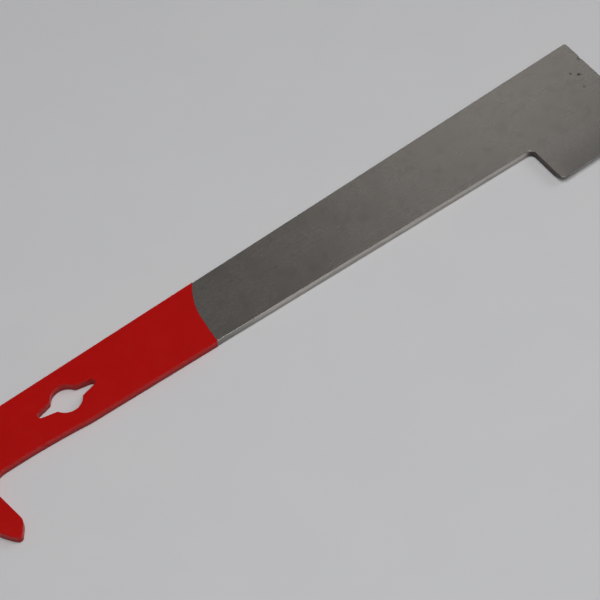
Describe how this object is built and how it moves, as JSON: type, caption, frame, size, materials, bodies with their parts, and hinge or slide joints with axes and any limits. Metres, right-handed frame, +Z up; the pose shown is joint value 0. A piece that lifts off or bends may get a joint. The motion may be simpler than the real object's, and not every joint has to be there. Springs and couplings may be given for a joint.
{
  "type": "hive tool",
  "caption": "Flat steel beekeeper's hive tool with a stepped scraper blade, a J-shaped frame hook and a slotted nail hole in its red enamelled handle.",
  "frame": {"origin": "under the middle of the tool's overall length and width, on the surface that it lies on", "axes": "+X along the straight back edge towards the scraper blade, +Y across the bar towards the back edge, +Z up out of the flat face"},
  "size_m": [0.267, 0.0454, 0.0033],
  "materials": {
    "bare_steel": "dull, fine-ground stainless sheet with brighter stamped edges",
    "red_enamel": "smooth semi-gloss red enamel"
  },
  "bodies": {
    "root": {"steel_plate": "bare_steel", "handle_coating": "red_enamel"}
  },
  "joints": []
}
